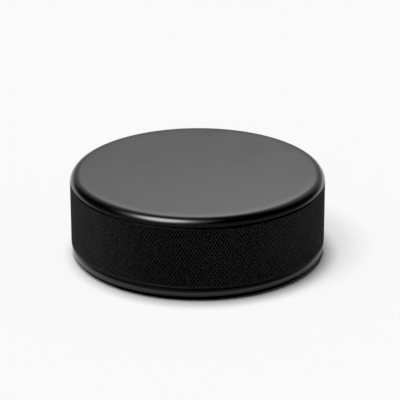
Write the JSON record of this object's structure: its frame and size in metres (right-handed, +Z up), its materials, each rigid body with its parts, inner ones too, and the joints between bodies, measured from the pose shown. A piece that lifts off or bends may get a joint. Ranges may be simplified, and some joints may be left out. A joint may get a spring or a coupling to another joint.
{
  "type": "ice hockey puck",
  "caption": "Solid rubber ice hockey puck: flat round disc with rounded shoulders, fine parting grooves and a knurled side band.",
  "frame": {"origin": "centre of the bottom face, on the plane that the puck lies on", "axes": "+Z up along the disc's axis; the disc is round about Z, so X and Y are free directions across it"},
  "size_m": [0.0762, 0.0762, 0.0254],
  "materials": {
    "rubber": "satin black moulded rubber"
  },
  "bodies": {
    "root": {"puck_body": "rubber"}
  },
  "joints": []
}
